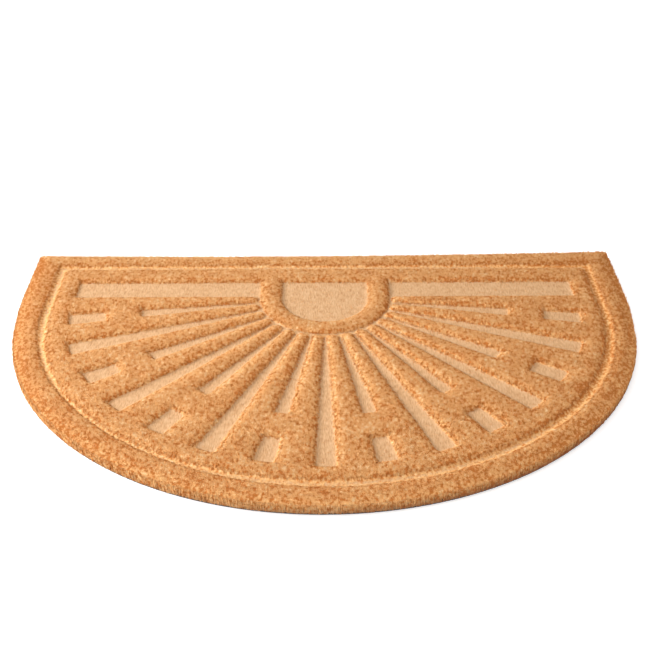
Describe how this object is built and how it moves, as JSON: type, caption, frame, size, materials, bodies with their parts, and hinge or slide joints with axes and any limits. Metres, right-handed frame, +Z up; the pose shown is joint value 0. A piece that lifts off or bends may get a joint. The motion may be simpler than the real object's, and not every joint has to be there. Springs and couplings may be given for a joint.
{
  "type": "half-round coir doormat",
  "caption": "Flat half-round coir mat with a pressed sunburst, a half-round sun at its straight edge and a groove around its border, on a thin backing.",
  "frame": {"origin": "under the middle of the bounding box, on the plane that the mat lies on", "axes": "+X along the straight edge to the right, +Y from the round edge towards the straight edge, +Z up out of the pile"},
  "size_m": [0.7082, 0.4601, 0.016],
  "materials": {
    "backing_sheet": "matt dark vinyl sheet with a fine grain",
    "coir": "dense upright coir fibre, matt, smoother and paler where it is pressed"
  },
  "bodies": {
    "root": {"backing": "backing_sheet", "coir_pile": "coir"}
  },
  "joints": []
}
